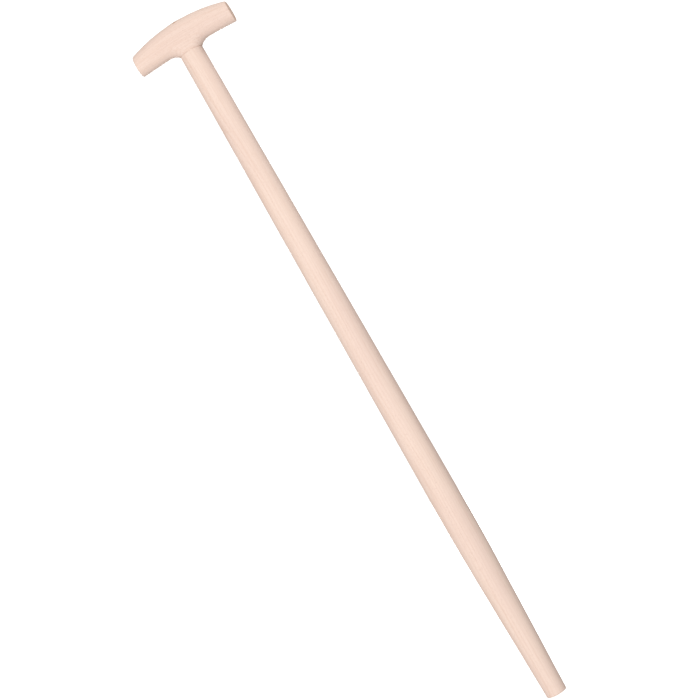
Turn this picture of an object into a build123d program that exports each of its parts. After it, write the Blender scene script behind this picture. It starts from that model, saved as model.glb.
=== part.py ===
from build123d import *
from math import sqrt
import os

# A garden dibber: a long turned wooden shaft with a T grip wedged on its upper end.
# Millimetres. +Z runs up the shaft, +X along the grip, and -Y is the front.
# The origin is the centre of the flat face at the tip.

# Whole tool
total_height = 950.0        # tip face to the crown of the grip

# Turned shaft: two long cones that meet in a gentle belly, a quarter of the way up
tip_radius = 13.4
tip_round = 1.5             # softened rim of the tip face
belly_radius = 19.43        # where the two cones would meet
belly_height = 225.0
belly_blend = 3000.0        # radius of the arc that joins the cones
neck_radius = 15.15         # shaft and grip boss, flush at the seam
seam_height = 908.0         # shoulder of the shaft, underside of the boss
shoulder_bevel = 0.25       # on the shaft, below the seam
boss_bevel = 0.1            # on the grip, above the seam

# Grip: an arched bar whose boss flares out of the shoulder
grip_half_length = 67.5
crown_arc = 226.0           # radius of the top, seen from the front
under_height = 914.2        # underside, carried on to the middle
under_arc = 910.0           # radius of the underside, seen from the front
flare_reach = 29.0          # where the boss has run out into the underside
end_half_depth = 13.5       # front to back at the ends; the middle is as deep as the neck
bar_round = 13.0            # rounding of the four long edges
end_round = 1.8             # softened rim of the two end faces

# Joint: a round tenon right through the grip, sawn and spread by one wedge
tenon_radius = 10.0
kerf_depth = 34.0           # saw cut, measured down from the crown
saw_width = 1.2             # kerf at its foot
spread_width = 3.4          # kerf at the crown, with the wedge driven home
wedge_length = 30.0
glue_gap = 0.05             # clearance for glue, round the tenon and beside the wedge

proud = 1.0                 # how far the blanks stand above the crown before they are trimmed
tool_top = total_height + proud


def sag(radius, offset):
    """Drop of a circular arc at this distance from its middle."""
    return radius - sqrt(radius**2 - offset**2)


def crown_z(x):
    return total_height - sag(crown_arc, x)


def underside_z(x):
    return under_height - sag(under_arc, x)


def grip_outline():
    """Front view of the grip, with the boss reaching down to the seam."""
    end = grip_half_length
    mid = (end + flare_reach) / 2
    edges = [
        ThreePointArc((-end, crown_z(end)), (0, total_height), (end, crown_z(end))),
        Line((neck_radius, seam_height), (-neck_radius, seam_height)),
    ]
    for side in (1, -1):
        corner = (side * end, underside_z(end))
        run_out = (side * flare_reach, underside_z(flare_reach))
        edges += [
            Line((side * end, crown_z(end)), corner),
            ThreePointArc(corner, (side * mid, underside_z(mid)), run_out),
            TangentArc(
                run_out,
                (side * neck_radius, seam_height),
                tangent=(-side, flare_reach / under_arc),
            ),
        ]
    return Plane.XZ * make_face(edges)


def grip_plan():
    """Top view of the grip, a little slimmer front to back at the ends."""
    end = grip_half_length
    edges = []
    for side in (1, -1):
        depth = side * end_half_depth
        edges += [
            ThreePointArc((-end, depth), (0, side * neck_radius), (end, depth)),
            Line((side * end, -end_half_depth), (side * end, end_half_depth)),
        ]
    return Plane.XY.offset(seam_height) * make_face(edges)


def is_long_edge(edge):
    """One of the front or back edges that run along the bar and down the boss."""
    middle = edge @ 0.5
    on_side = abs(middle.Y) > end_half_depth / 2
    return on_side and abs(middle.X) < grip_half_length - 1 and middle.Z > seam_height + 1


def is_end_rim(edge):
    return abs((edge @ 0.5).X) > grip_half_length - 0.01


def grip_body():
    """The shaped grip before it is bored."""
    bar = extrude(grip_outline(), neck_radius + 1, both=True)
    bar &= extrude(grip_plan(), total_height - seam_height + 1)
    bar = fillet(bar.edges().filter_by(is_long_edge), bar_round)
    return fillet(bar.edges().filter_by(is_end_rim), end_round)


def tenon_envelope(clearance):
    """Round at the shoulder, spread to an oval at the crown, where the wedge opens it."""
    spread = (spread_width - saw_width) / 2
    foot = Plane.XY.offset(seam_height) * Circle(tenon_radius + clearance)
    head = Plane.XY.offset(tool_top) * Ellipse(
        tenon_radius + spread + clearance, tenon_radius + clearance
    )
    return loft([foot, head])


def kerf_width(height):
    """Width of the spread saw cut: it opens evenly from its foot to the crown."""
    share = (height - total_height + kerf_depth) / kerf_depth
    return saw_width + (spread_width - saw_width) * share


def across_tenon(foot, clearance):
    """A V-shaped slab across the tenon, from this height up past the crown."""
    low = kerf_width(foot) / 2 - clearance
    high = kerf_width(tool_top) / 2 - clearance
    outline = Polyline((-high, tool_top), (high, tool_top), (low, foot), (-low, foot), close=True)
    return extrude(Plane.XZ * make_face(outline), tenon_radius * 2, both=True)


def turned_blank():
    """The shaft below its shoulder."""
    sides = FilletPolyline(
        (0, 0),
        (tip_radius, 0),
        (belly_radius, belly_height),
        (neck_radius, seam_height - shoulder_bevel),
        radius=(tip_round, belly_blend),
    )
    shoulder = Polyline(
        (neck_radius, seam_height - shoulder_bevel),
        (neck_radius - shoulder_bevel, seam_height),
        (0, seam_height),
        (0, 0),
    )
    return revolve(Plane.XZ * make_face([sides, shoulder]), Axis.Z)


def shaft():
    """The turned shaft with its tenon, which is sawn across and trimmed to the crown."""
    tenon = tenon_envelope(0) & grip_body()
    tenon -= across_tenon(total_height - kerf_depth, 0)
    return turned_blank() + tenon


def grip():
    """The arched T grip, bored for the tenon, its boss bevelled at the seam."""
    inner = neck_radius - shoulder_bevel
    outer = neck_radius + shoulder_bevel
    rise = boss_bevel * (outer - inner) / shoulder_bevel
    bevel = Polyline((inner, seam_height), (outer, seam_height), (outer, seam_height + rise), close=True)
    ring = revolve(Plane.XZ * make_face(bevel), Axis.Z)
    return grip_body() - tenon_envelope(glue_gap) - ring


def tenon_wedge():
    """The hardwood wedge in the tenon's kerf, trimmed flush with the crown."""
    slab = across_tenon(total_height - wedge_length, glue_gap)
    return slab & tenon_envelope(0) & grip_body()


if __name__ == "__main__":
    os.makedirs("parts", exist_ok=True)
    for make in (shaft, grip, tenon_wedge):
        export_step(make(), f"parts/{make.__name__}.step")
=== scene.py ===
import math

import bmesh
import bpy
from mathutils import Matrix, Vector, noise


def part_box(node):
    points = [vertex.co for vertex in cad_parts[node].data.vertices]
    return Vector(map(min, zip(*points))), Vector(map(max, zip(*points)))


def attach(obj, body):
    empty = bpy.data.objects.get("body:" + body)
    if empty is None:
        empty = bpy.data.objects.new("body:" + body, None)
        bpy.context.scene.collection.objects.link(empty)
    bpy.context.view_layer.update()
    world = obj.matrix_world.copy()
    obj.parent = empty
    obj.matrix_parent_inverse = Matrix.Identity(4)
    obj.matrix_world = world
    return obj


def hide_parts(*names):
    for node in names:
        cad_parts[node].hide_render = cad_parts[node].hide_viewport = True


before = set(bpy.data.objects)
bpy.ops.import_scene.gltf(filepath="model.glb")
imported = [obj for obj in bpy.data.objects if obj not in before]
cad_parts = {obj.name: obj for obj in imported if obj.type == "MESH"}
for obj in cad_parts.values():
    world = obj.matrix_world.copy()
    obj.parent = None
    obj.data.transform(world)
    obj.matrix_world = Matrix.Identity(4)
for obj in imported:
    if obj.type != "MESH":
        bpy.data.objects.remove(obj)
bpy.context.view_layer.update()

# The garden dibber's looks: a turned shaft, an arched T grip and the wedge that locks them,
# all in bare hardwood. Lengths are millimetres until a mesh is made.
# +Z runs up the shaft, +X along the grip, and -Y is the front.

MM = 0.001
grip_low, grip_high = (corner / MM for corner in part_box("grip"))
wedge_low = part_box("tenon_wedge")[0] / MM

# The shaft's own dimensions, as turned
TOP = grip_high.z
SEAM = grip_low.z
TIP_RADIUS = 13.4
TIP_ROUND = 1.5
NECK_RADIUS = grip_high.y
SHOULDER_BEVEL = 0.25
BELLY_RADIUS = 19.43            # where the two cones would meet
BELLY_HEIGHT = 225.0
BELLY_BLEND = 3000.0            # radius of the arc that joins the cones

# The grip's
HALF_LENGTH = grip_high.x
CROWN_ARC = 226.0
UNDER_HEIGHT = 914.2
UNDER_ARC = 910.0
FLARE_REACH = 29.0              # where the boss has run out into the underside
END_DEPTH = 13.5
BAR_ROUND = 13.0
END_ROUND = 1.8
BOSS_BEVEL = 0.1
NECK_STUB = 5.0                 # the blank runs on this far below the seam before it is cut

# The joint's
TENON_RADIUS = 10.0
SAW_WIDTH = 1.2
SPREAD_WIDTH = 3.4
KERF_DEPTH = 34.0
GLUE_LINE = 0.1
TENON_PROUD = 0.12              # end grain stands a hair above the crown once the grip has shrunk
WEDGE_PROUD = 0.18

# Traces of the work: how far the surface wanders, and over what length
SANDING, SANDING_LENGTH = 0.09, 17.0
TURNING, TURNING_LENGTH = 0.11, 46.0
TURNING_FADE = 20.0             # the ripple dies away this near the seam and the tip

# The meshes'
AROUND = 128                    # points in a turned ring
OVERCUT = 2.0                   # a cutting tool runs on this far past the wood
WELD = 0.02                     # points nearer than this are one point
STRAIGHT = math.radians(172)    # a corner wider than this is nearly straight
SHARP = math.radians(32)        # an edge that turns more than this stays sharp


# ---------------------------------------------------------------- shapes


def sag(radius, offset):
    """Drop of a circular arc at this distance from its middle."""
    return radius - math.sqrt(radius * radius - offset * offset)


def shaft_radius(z):
    """Radius of the turned shaft: two cones joined by a long tangent arc."""
    lower = (BELLY_RADIUS - TIP_RADIUS) / BELLY_HEIGHT
    upper = (NECK_RADIUS - BELLY_RADIUS) / (SEAM - SHOULDER_BEVEL - BELLY_HEIGHT)
    reach = BELLY_BLEND * math.tan((math.atan(lower) - math.atan(upper)) / 2)
    offset = z - BELLY_HEIGHT
    if offset < 0:
        cone = BELLY_RADIUS + lower * offset
    else:
        cone = BELLY_RADIUS + upper * offset
    inside = max(0.0, reach - abs(offset))
    return cone - inside * inside / (2 * BELLY_BLEND)


def half_depth(x):
    """Half the grip's depth front to back: a shallow arc from the neck to the ends."""
    rise = NECK_RADIUS - END_DEPTH
    arc = (HALF_LENGTH**2 + rise**2) / (2 * rise)
    return NECK_RADIUS - sag(arc, x)


def crown_z(x, inset):
    """Top of the grip, seen from the front, moved inwards by inset."""
    arc = CROWN_ARC - inset
    return TOP - CROWN_ARC + math.sqrt(arc * arc - x * x)


def flare_circle():
    """Centre (x, z) and radius of the arc that joins the underside to the seam's edge, on the +X side."""
    start = Vector((FLARE_REACH, UNDER_HEIGHT - sag(UNDER_ARC, FLARE_REACH)))
    normal = Vector((FLARE_REACH / UNDER_ARC, math.sqrt(1 - (FLARE_REACH / UNDER_ARC) ** 2)))
    chord = Vector((NECK_RADIUS, SEAM)) - start
    radius = -chord.length_squared / (2 * chord.dot(normal))
    return start - normal * radius, radius


FLARE_CENTRE, FLARE_RADIUS = flare_circle()


def underside_z(x, inset):
    """Underside of the grip and its flared boss, moved inwards by inset."""
    x = abs(x)
    arc = UNDER_ARC + inset
    if x > FLARE_REACH * arc / UNDER_ARC:
        return UNDER_HEIGHT - UNDER_ARC + math.sqrt(arc * arc - x * x)
    rise = (FLARE_RADIUS + inset) ** 2 - (FLARE_CENTRE.x - x) ** 2
    return max(SEAM - NECK_STUB, FLARE_CENTRE.y + math.sqrt(max(0.0, rise)))


def hand_finish(point):
    """Slight unevenness left by hand sanding."""
    return SANDING * noise.noise(point / SANDING_LENGTH)


def crown_surface(x, y):
    """Height of the finished crown over a point near the middle of the grip."""
    edge = half_depth(x) - BAR_ROUND
    over = max(0.0, abs(y) - edge)
    z = crown_z(x, sag(BAR_ROUND, over))
    return z + hand_finish(Vector((x, y, z)))


def tenon_end(x, y):
    """Height of the tenon's end grain."""
    return crown_surface(x, y) + TENON_PROUD


def tenon_radii(z):
    """The tenon is round at the shoulder and spread along X at the crown."""
    share = (z - SEAM) / (TOP - SEAM)
    return TENON_RADIUS + share * (SPREAD_WIDTH - SAW_WIDTH) / 2, TENON_RADIUS


def kerf_half_width(z):
    """Half the width of the saw cut, which the wedge opens towards the crown."""
    share = (z - TOP + KERF_DEPTH) / KERF_DEPTH
    return (SAW_WIDTH + (SPREAD_WIDTH - SAW_WIDTH) * share) / 2


# ---------------------------------------------------------------- meshes


def skin(name, rings, low_centre=None, high_centre=None):
    """A closed solid through rings of points, all with the same count, closed by a fan or a flat cap."""
    count = len(rings[0])
    points = [Vector(p) * MM for ring in rings for p in ring]
    faces = []
    for row in range(len(rings) - 1):
        low, high = row * count, (row + 1) * count
        for i in range(count):
            j = (i + 1) % count
            faces.append((low + i, low + j, high + j, high + i))
    last = (len(rings) - 1) * count
    if low_centre is None:
        faces.append(tuple(reversed(range(count))))
    else:
        points.append(Vector(low_centre) * MM)
        faces += [((i + 1) % count, i, len(points) - 1) for i in range(count)]
    if high_centre is None:
        faces.append(tuple(range(last, last + count)))
    else:
        points.append(Vector(high_centre) * MM)
        faces += [(last + i, last + (i + 1) % count, len(points) - 1) for i in range(count)]
    mesh = bpy.data.meshes.new(name)
    mesh.from_pydata(points, [], faces)
    shell = bmesh.new()
    shell.from_mesh(mesh)
    bmesh.ops.recalc_face_normals(shell, faces=shell.faces)
    shell.to_mesh(mesh)
    shell.free()
    piece = bpy.data.objects.new(name, mesh)
    bpy.context.scene.collection.objects.link(piece)
    return piece


def cut(piece, tool):
    """Cuts the tool's shape out of the piece's mesh and removes the tool."""
    modifier = piece.modifiers.new("cut", "BOOLEAN")
    modifier.operation = "DIFFERENCE"
    modifier.solver = "EXACT"
    modifier.object = tool
    bpy.context.view_layer.update()
    evaluated = piece.evaluated_get(bpy.context.evaluated_depsgraph_get())
    made = bpy.data.meshes.new_from_object(evaluated)
    piece.modifiers.clear()
    piece.data = made
    bpy.data.objects.remove(tool)


def is_rough(face):
    """A face with many sides, or with a corner that is nearly straight, which a boolean leaves behind."""
    return len(face.verts) > 4 or max(loop.calc_angle() for loop in face.loops) > STRAIGHT


def finish_surface(piece):
    """Welds the crumbs of booleans, splits their rough faces well, and smooths all but the sharp edges."""
    shell = bmesh.new()
    shell.from_mesh(piece.data)
    bmesh.ops.remove_doubles(shell, verts=shell.verts, dist=WELD * MM)
    bmesh.ops.dissolve_degenerate(shell, edges=shell.edges, dist=WELD * MM)
    rough = [face for face in shell.faces if is_rough(face)]
    bmesh.ops.triangulate(shell, faces=rough, quad_method="BEAUTY", ngon_method="BEAUTY")
    shell.to_mesh(piece.data)
    shell.free()
    piece.data.shade_smooth()
    piece.data.set_sharp_from_angle(angle=SHARP)


def circle(radius_x, radius_y, z):
    """A ring of points; z is a height or a function of x and y."""
    ring = []
    for i in range(AROUND):
        turn = 2 * math.pi * i / AROUND
        x, y = radius_x * math.cos(turn), radius_y * math.sin(turn)
        ring.append((x, y, z(x, y) if callable(z) else z))
    return ring


def quarter_turn(steps):
    """Angles from 0 to 90 degrees that lay out a rounded edge."""
    return [math.pi / 2 * step / steps for step in range(steps + 1)]


# ---------------------------------------------------------------- shaft


def tip_rings():
    """The flat face at the tip and its rounded rim."""
    rings = [circle(radius, radius, 0) for radius in (2, 4.5, 7, 9.5)]
    flat = TIP_RADIUS - TIP_ROUND
    for turn in quarter_turn(6):
        radius = flat + TIP_ROUND * math.sin(turn)
        rings.append(circle(radius, radius, TIP_ROUND * (1 - math.cos(turn))))
    return rings


def turned_rings():
    """The long side of the shaft, with the slight ripple that turning leaves."""
    bottom, top = TIP_ROUND + 1, SEAM - SHOULDER_BEVEL
    rows = 300
    lobes = 1.3                 # more of them, and the ripple changes faster round the shaft
    rings = []
    for row in range(rows + 1):
        z = bottom + (top - bottom) * row / rows
        fade = min(1.0, (top - z) / TURNING_FADE, (z - bottom) / TURNING_FADE)
        ring = []
        for i in range(AROUND):
            turn = 2 * math.pi * i / AROUND
            c, s = math.cos(turn), math.sin(turn)
            ripple = TURNING * noise.noise(Vector((c * lobes, s * lobes, z / TURNING_LENGTH)))
            r = shaft_radius(z) + ripple * fade
            ring.append((r * c, r * s, z))
        rings.append(ring)
    return rings


def tenon_rings():
    """The bevelled shoulder, then the tenon up to its end, which follows the crown."""
    inner = NECK_RADIUS - SHOULDER_BEVEL
    rings = [circle(inner, inner, SEAM), circle(TENON_RADIUS, TENON_RADIUS, SEAM)]
    steps = 8
    for step in range(1, steps + 1):
        share = step / steps
        wide, deep = tenon_radii(SEAM + share * (TOP - SEAM))
        rings.append(circle(wide, deep, lambda x, y: SEAM + share * (tenon_end(x, y) - SEAM)))
    for share in (0.96, 0.85, 0.7, 0.55, 0.4, 0.25, 0.1):
        rings.append(circle(wide * share, deep * share, tenon_end))
    return rings


def saw_tool():
    """The saw cut across the tenon."""
    past = TENON_RADIUS + 4
    rings = []
    for z in (TOP - KERF_DEPTH, TOP + OVERCUT):
        half = kerf_half_width(z)
        rings.append([(-half, -past, z), (half, -past, z), (half, past, z), (-half, past, z)])
    return skin("saw_tool", rings)


def make_shaft():
    """The turned shaft and its sawn tenon, from the tip's centre to the crown."""
    rings = tip_rings() + turned_rings() + tenon_rings()
    shaft = skin("shaft_turned", rings, (0, 0, 0), (0, 0, tenon_end(0, 0)))
    cut(shaft, saw_tool())
    finish_surface(shaft)
    return shaft


# ---------------------------------------------------------------- grip


def section(x, inset):
    """One closed loop round the grip at station x, moved inwards by inset at the rounded ends."""
    flat_steps, strip_steps = 10, 2
    strip = half_depth(x) - BAR_ROUND
    radius = BAR_ROUND - inset
    side = [(strip * step / strip_steps, inset) for step in range(strip_steps)]
    for turn in quarter_turn(14):
        side.append((strip + radius * math.sin(turn), BAR_ROUND - radius * math.cos(turn)))
    upper = [(y, crown_z(x, edge)) for y, edge in side]
    lower = [(y, underside_z(x, edge)) for y, edge in reversed(side)]
    (y_side, z_high), (_, z_low) = upper[-1], lower[0]
    flat = []
    for step in range(1, flat_steps):
        flat.append((y_side, z_high + (z_low - z_high) * step / flat_steps))
    half = upper + flat + lower
    return [(x, -y, z) for y, z in half] + [(x, y, z) for y, z in reversed(half[1:-1])]


def grip_stations():
    """Places along the grip, from +X to -X, and how far its outline is moved inwards at each."""
    stations = [(HALF_LENGTH, inset) for inset in (11, 8, 5, 3)]
    for turn in quarter_turn(6):
        x = HALF_LENGTH - END_ROUND * (1 - math.cos(turn))
        stations.append((x, END_ROUND * (1 - math.sin(turn))))
    arm_start, boss_start = HALF_LENGTH - END_ROUND, FLARE_REACH + 4
    arm_steps, boss_steps = 26, 56
    for step in range(1, arm_steps):
        stations.append((arm_start + (boss_start - arm_start) * step / arm_steps, 0))
    for step in range(boss_steps):
        stations.append((boss_start * (1 - step / boss_steps), 0))
    return stations + [(0, 0)] + [(-x, inset) for x, inset in reversed(stations)]


def seam_tool():
    """Everything below the seam, with a shallow cone that bevels the boss."""
    inner, outer = NECK_RADIUS - SHOULDER_BEVEL, NECK_RADIUS + SHOULDER_BEVEL
    rise = 2 * BOSS_BEVEL
    far, below = 45, SEAM - NECK_STUB - 3
    profile = [(far, below), (far, SEAM + rise), (outer, SEAM + rise), (inner, SEAM)]
    return skin("seam_tool", [circle(radius, radius, z) for radius, z in profile])


def bore_tool():
    """The tapering oval hole for the tenon."""
    rings = []
    for z in (SEAM - OVERCUT, TOP + OVERCUT):
        wide, deep = tenon_radii(z)
        rings.append(circle(wide + GLUE_LINE, deep + GLUE_LINE, z))
    return skin("bore_tool", rings)


def make_grip():
    """The arched bar with its flared boss, cut at the seam and bored for the tenon."""
    middle = (crown_z(HALF_LENGTH, 0) + underside_z(HALF_LENGTH, 0)) / 2
    rings = [section(x, inset) for x, inset in grip_stations()]
    grip = skin("grip_arched", rings, (HALF_LENGTH, 0, middle), (-HALF_LENGTH, 0, middle))
    normals = [vertex.normal.copy() for vertex in grip.data.vertices]
    for vertex, normal in zip(grip.data.vertices, normals):
        vertex.co += normal * (hand_finish(vertex.co / MM) * MM)
    cut(grip, seam_tool())
    cut(grip, bore_tool())
    finish_surface(grip)
    return grip


# ---------------------------------------------------------------- wedge


def wedge_point(across, up, along):
    """A point of the wedge's surface. across and along run from -1 to 1, and up from 0 to 1."""
    level = wedge_low.z + up * (TOP - wedge_low.z)
    wide, deep = tenon_radii(level)
    x = across * (kerf_half_width(level) - GLUE_LINE / 2)
    y = along * deep * math.sqrt(1 - (x / wide) ** 2)
    crown = crown_surface(x, y) + WEDGE_PROUD
    return x, y, wedge_low.z + up * (crown - wedge_low.z)


def make_wedge():
    """The hardwood wedge in slices from front to back, each from inside the kerf up to the crown."""
    width_steps, height_steps, slices = 6, 14, 40
    outline = [(2 * i / width_steps - 1, 0) for i in range(width_steps)]
    outline += [(1, i / height_steps) for i in range(height_steps)]
    outline += [(1 - 2 * i / width_steps, 1) for i in range(width_steps)]
    outline += [(-1, 1 - i / height_steps) for i in range(height_steps)]
    rings = []
    for step in range(slices + 1):
        along = 2 * step / slices - 1
        rings.append([wedge_point(across, up, along) for across, up in outline])
    wedge = skin("wedge_driven", rings)
    finish_surface(wedge)
    return wedge


# ---------------------------------------------------------------- camera


def make_camera():
    """Looks level at the middle of the shaft from a little to its right, rolled to lean the grip left."""
    azimuth, roll = math.radians(8.0), math.radians(29.685)
    distance, seen_width = 2040.0, 861.6
    middle, offset = Vector((0, 0, 492.55)), 12.3
    sensor_width = 36.0
    side = Vector((math.cos(azimuth), math.sin(azimuth), 0))
    back = Vector((math.sin(azimuth), -math.cos(azimuth), 0))
    right = side * math.cos(roll) - Vector((0, 0, 1)) * math.sin(roll)
    up = back.cross(right)
    aim = middle - side * offset
    data = bpy.data.cameras.new("camera")
    data.sensor_width = sensor_width
    data.lens = sensor_width * distance / seen_width
    data.clip_start = 0.05
    data.clip_end = 100
    camera = bpy.data.objects.new("camera", data)
    bpy.context.scene.collection.objects.link(camera)
    place = Matrix((right, up, back)).transposed().to_4x4()
    place.translation = (aim + back * distance) * MM
    camera.matrix_world = place
    bpy.context.scene.camera = camera


# ---------------------------------------------------------------- materials


class Nodes:
    """Builds the node tree of one material or world."""

    def __init__(self, owner):
        owner.use_nodes = True
        self.tree = owner.node_tree
        self.tree.nodes.clear()

    def add(self, kind, inputs=None, **settings):
        """A new node. inputs maps a socket's name or number to a value or to another node's output."""
        node = self.tree.nodes.new("ShaderNode" + kind)
        for name, value in settings.items():
            setattr(node, name, value)
        for key, value in (inputs or {}).items():
            if isinstance(value, bpy.types.NodeSocket):
                self.tree.links.new(value, node.inputs[key])
            else:
                node.inputs[key].default_value = value
        return node

    def math(self, operation, *values):
        """One number from others."""
        return self.add("Math", dict(enumerate(values)), operation=operation).outputs[0]

    def vector(self, operation, *values):
        """One vector from others."""
        return self.add("VectorMath", dict(enumerate(values)), operation=operation).outputs[0]

    def measure(self, operation, *vectors):
        """One number from vectors: LENGTH or DOT_PRODUCT."""
        node = self.add("VectorMath", dict(enumerate(vectors)), operation=operation)
        return node.outputs["Value"]

    def times(self, *values):
        """The product of them all."""
        product = values[0]
        for value in values[1:]:
            product = self.math("MULTIPLY", product, value)
        return product

    def ease(self, value, low, high, to_low=0.0, to_high=1.0):
        """value taken smoothly from low..high to to_low..to_high, and clamped."""
        inputs = {0: value, 1: low, 2: high, 3: to_low, 4: to_high}
        return self.add("MapRange", inputs, interpolation_type="SMOOTHSTEP").outputs[0]

    def noise(self, point, size, detail=2.0, roughness=0.5, output=0):
        """Noise whose grain is size millimetres along each axis of point."""
        stretched = self.vector("MULTIPLY", point, [1 / length for length in size])
        inputs = {"Vector": stretched, "Scale": 1.0, "Detail": detail, "Roughness": roughness}
        return self.add("TexNoise", inputs).outputs[output]

    def spots(self, point, size, low, high, detail=1.0):
        """1 where the noise is above high, 0 where it is below low, and smooth between them."""
        return self.ease(self.noise(point, size, detail=detail), low, high)

    def mix(self, share, below, above):
        """The colour below with this share of the colour above laid over it."""
        inputs = {0: share, 6: below, 7: above}
        return self.add("Mix", inputs, data_type="RGBA", blend_type="MIX").outputs[2]

    def output(self, kind, surface):
        """Ends the tree."""
        self.add(kind, {"Surface": surface})


def srgb(red, green, blue):
    """A linear colour from display values of 0 to 255."""
    linear = []
    for value in (red, green, blue):
        share = value / 255
        linear.append(share / 12.92 if share <= 0.04045 else ((share + 0.055) / 1.055) ** 2.4)
    return (*linear, 1.0)


def grain_frame(nodes, grain, middle):
    """The point and the normal in the blank's own millimetres, with z along the fibres."""
    place = nodes.add("TexCoord")
    centred = nodes.vector("SUBTRACT", place.outputs["Object"], middle * MM)
    turn = (0, -math.pi / 2, 0) if grain == "X" else (0, 0, 0)
    point = nodes.add("Mapping", {"Vector": centred, "Rotation": turn, "Scale": (1 / MM,) * 3})
    normal = nodes.add(
        "Mapping", {"Vector": place.outputs["Normal"], "Rotation": turn}, vector_type="VECTOR"
    )
    return point.outputs[0], normal.outputs[0]


def growth_frame(nodes, point, pith):
    """The tree's own frame, in which the rings wander a little.

    Gives the wandering point, the way out from the pith, how far out it is, and the point as
    radius, arc and height."""
    wander = nodes.noise(point, (40, 40, 190), detail=1.0, output="Color")
    shift = nodes.vector("SUBTRACT", wander, (0.5, 0.5, 0.5))
    grown = nodes.vector("MULTIPLY_ADD", shift, (9, 9, 0), point)
    from_pith = nodes.vector("SUBTRACT", grown, (*pith, 0))
    outward = nodes.vector("MULTIPLY", from_pith, (1, 1, 0))
    radius = nodes.measure("LENGTH", outward)
    x, y, z = nodes.add("SeparateXYZ", {0: from_pith}).outputs
    arc = nodes.times(nodes.math("ARCTAN2", y, x), math.hypot(*pith))
    polar = nodes.add("CombineXYZ", {0: radius, 1: arc, 2: z}).outputs[0]
    return grown, outward, radius, polar


def late_wood(nodes, radius, polar, ring_width):
    """Each year's ring darkens slowly towards its late wood and then stops short."""
    uneven = nodes.noise(polar, (7, 60, 400), detail=1.0)
    years = nodes.math("MULTIPLY_ADD", uneven, 2.2, nodes.math("DIVIDE", radius, ring_width))
    share = nodes.math("FRACT", years)
    vigour = nodes.add("TexWhiteNoise", {"W": nodes.math("FLOOR", years)}, noise_dimensions="1D")
    return nodes.times(
        nodes.ease(share, 0.35, 0.93),
        nodes.ease(share, 1.0, 0.95),
        nodes.ease(vigour.outputs["Value"], 0.0, 1.0, 0.45, 1.0),
    )


def wood(name, node, grain, pith, tones, ring_width=2.9, turned=False):
    """Bare sanded hardwood. pith is the middle of the growth rings, in millimetres from the node's middle.

    tones are the display colours of two kinds of sapwood, late wood, ray flecks and end grain."""
    material = bpy.data.materials.new(name)
    nodes = Nodes(material)
    cream, rose, late_tone, fleck_tone, end_tone = (srgb(*tone) for tone in tones)
    point, normal = grain_frame(nodes, grain, sum(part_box(node), Vector()) / 2 / MM)
    grown, outward, radius, polar = growth_frame(nodes, point, pith)

    # how much the surface shows end grain, and how far it follows the rings
    fibre_share = nodes.math("ABSOLUTE", nodes.measure("DOT_PRODUCT", normal, (0, 0, 1)))
    end = nodes.ease(fibre_share, 0.55, 0.93)
    side = nodes.math("SUBTRACT", 1.0, end)
    across = nodes.vector("NORMALIZE", outward)
    facing = nodes.math("ABSOLUTE", nodes.measure("DOT_PRODUCT", normal, across))

    # rings and fibres
    late = late_wood(nodes, radius, polar, ring_width)
    fibres = nodes.noise(grown, (0.3, 0.3, 12), detail=3.0, roughness=0.6)
    hairs = nodes.noise(grown, (0.11, 0.11, 3.5), detail=1.0)
    streaks = nodes.spots(grown, (1.8, 1.8, 130), 0.48, 0.78, detail=2.0)
    patches = nodes.spots(grown, (26, 26, 150), 0.32, 0.68)

    # rays: short dark dashes where the surface follows the rings, faint flakes across them
    dashes = nodes.times(
        nodes.spots(polar, (11, 0.30, 2.2), 0.60, 0.69), nodes.ease(facing, 0.35, 0.85)
    )
    flakes = nodes.times(
        nodes.spots(polar, (5, 0.40, 1.2), 0.52, 0.68), nodes.ease(facing, 0.75, 0.2), side
    )
    spokes = nodes.times(nodes.spots(polar, (14, 0.32, 60), 0.52, 0.72, detail=2.0), end)
    pits = nodes.times(nodes.spots(grown, (0.24, 0.24, 8), 0.54, 0.72), end)

    colour = nodes.mix(patches, cream, rose)
    for shown, tone in (
        (nodes.times(late, nodes.math("MULTIPLY_ADD", end, 0.25, 0.20)), late_tone),
        (nodes.times(streaks, 0.20), late_tone),
        (nodes.times(nodes.ease(fibres, 0.50, 0.75), 0.22), late_tone),
        (nodes.times(nodes.ease(hairs, 0.60, 0.80), side, 0.16), fleck_tone),
        (nodes.times(dashes, side, 0.22), fleck_tone),
        (nodes.times(flakes, 0.055), fleck_tone),
        (nodes.times(end, 0.62), end_tone),
        (nodes.times(spokes, 0.25), cream),
        (nodes.times(pits, 0.35), fleck_tone),
    ):
        colour = nodes.mix(shown, colour, tone)

    # relief of a few hundredths of a millimetre
    relief = nodes.math("SUBTRACT", fibres, nodes.times(pits, 0.9))
    relief = nodes.math("MULTIPLY_ADD", hairs, -0.5, relief)
    if turned:
        marks = nodes.noise(point, (30, 30, 0.5), detail=1.0)
        relief = nodes.math("MULTIPLY_ADD", marks, 0.8, relief)
    bump = nodes.add("Bump", {"Strength": 0.3, "Distance": 0.07 * MM, "Height": relief})
    rough = nodes.math("MULTIPLY_ADD", fibres, 0.16, 0.52)
    rough = nodes.math("MULTIPLY_ADD", flakes, -0.10, rough)
    rough = nodes.math("MULTIPLY_ADD", end, 0.18, rough)
    inputs = {
        "Base Color": colour,
        "Roughness": rough,
        "Normal": bump.outputs[0],
        "IOR": 1.45,
        "Specular IOR Level": 0.25,
    }
    nodes.output("OutputMaterial", nodes.add("BsdfPrincipled", inputs).outputs[0])
    return material


def dress(piece, node, material):
    """Gives the piece its material, its body and its place in the frame."""
    piece.data.materials.clear()
    piece.data.materials.append(material)
    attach(piece, "root")
    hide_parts(node)


# ---------------------------------------------------------------- stage and light


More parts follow.
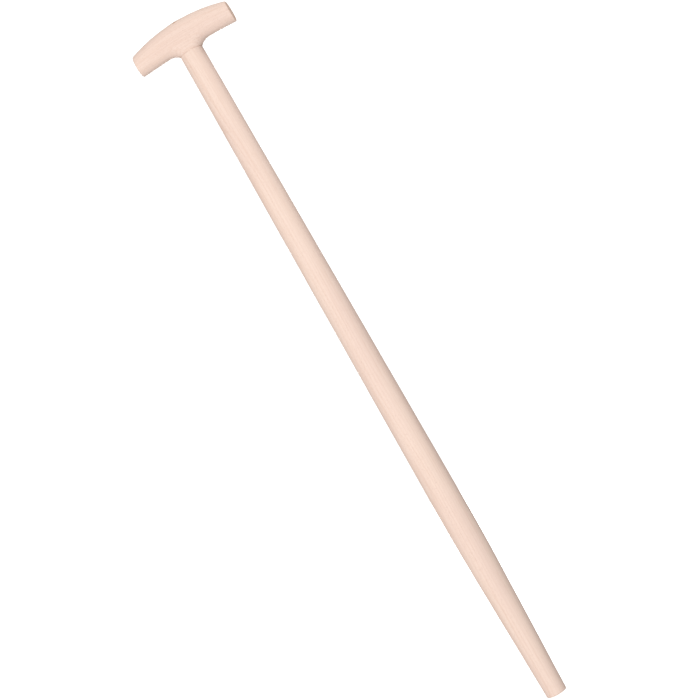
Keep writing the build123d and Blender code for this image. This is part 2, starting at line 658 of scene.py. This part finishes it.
def make_floor():
    """A pale floor, bright enough to run into the background. It sends no light or shade to the tool."""
    reach, glow_strength = 6.0, 0.64
    corners = [(-reach, -reach, 0), (reach, -reach, 0), (reach, reach, 0), (-reach, reach, 0)]
    mesh = bpy.data.meshes.new("floor")
    mesh.from_pydata(corners, [], [(0, 1, 2, 3)])
    floor = bpy.data.objects.new("floor", mesh)
    bpy.context.scene.collection.objects.link(floor)
    material = bpy.data.materials.new("floor_white")
    nodes = Nodes(material)
    paper = nodes.add("BsdfDiffuse", {"Color": srgb(240, 240, 240)})
    glow = nodes.add("Emission", {"Strength": glow_strength})
    both = nodes.add("AddShader", {0: paper.outputs[0], 1: glow.outputs[0]})
    nodes.output("OutputMaterial", both.outputs[0])
    mesh.materials.append(material)
    floor.visible_diffuse = False
    floor.visible_glossy = False
    floor.visible_shadow = False


def make_world(level, poles):
    """Soft light from all round, stronger from straight above and below. The camera sees plain white."""
    world = bpy.data.worlds.new("studio")
    bpy.context.scene.world = world
    nodes = Nodes(world)
    height = nodes.add("SeparateXYZ", {0: nodes.add("TexCoord").outputs["Generated"]}).outputs[2]
    light = nodes.math("MULTIPLY_ADD", nodes.times(height, height), poles, level)
    seen = nodes.add("LightPath").outputs["Is Camera Ray"]
    strength = nodes.math("ADD", light, seen)
    nodes.output("OutputWorld", nodes.add("Background", {"Strength": strength}).outputs[0])


def make_softbox(name, azimuth, distance, height, size, power, aim_height):
    """A square area light in metres and watts; azimuth 0 is in front, and 90 on the +X side."""
    data = bpy.data.lights.new(name, "AREA")
    data.shape = "SQUARE"
    data.size = size
    data.energy = power
    light = bpy.data.objects.new(name, data)
    bpy.context.scene.collection.objects.link(light)
    turn = math.radians(azimuth)
    light.location = (distance * math.sin(turn), -distance * math.cos(turn), height)
    way = light.location - Vector((0, 0, aim_height))
    light.rotation_euler = way.to_track_quat("Z", "Y").to_euler()


# ---------------------------------------------------------------- the scene

PALE = (
    (227, 204, 190),
    (224, 200, 187),
    (200, 161, 137),
    (150, 104, 80),
    (190, 158, 137),
)
DARKER = (
    (205, 168, 140),
    (198, 160, 134),
    (182, 143, 115),
    (128, 88, 64),
    (186, 148, 122),
)

bpy.context.scene.view_settings.view_transform = "Standard"
make_camera()
shaft_wood = wood("beech_shaft", "shaft", "Z", (46, 34), PALE, turned=True)
dress(make_shaft(), "shaft", shaft_wood)
grip_wood = wood("beech_grip", "grip", "X", (-34, 40), PALE, ring_width=2.6)
dress(make_grip(), "grip", grip_wood)
wedge_wood = wood("hardwood_wedge", "tenon_wedge", "Z", (30, 20), DARKER, ring_width=1.7)
dress(make_wedge(), "tenon_wedge", wedge_wood)

make_floor()
make_world(level=0.55, poles=0.60)
make_softbox("key", azimuth=-12, distance=3.5, height=0.65, size=1.2, power=90, aim_height=0.30)
make_softbox("fill", azimuth=90, distance=1.0, height=1.2, size=0.6, power=3.4, aim_height=0.85)
make_softbox("rear", azimuth=188, distance=2.5, height=1.0, size=1.2, power=44, aim_height=0.50)
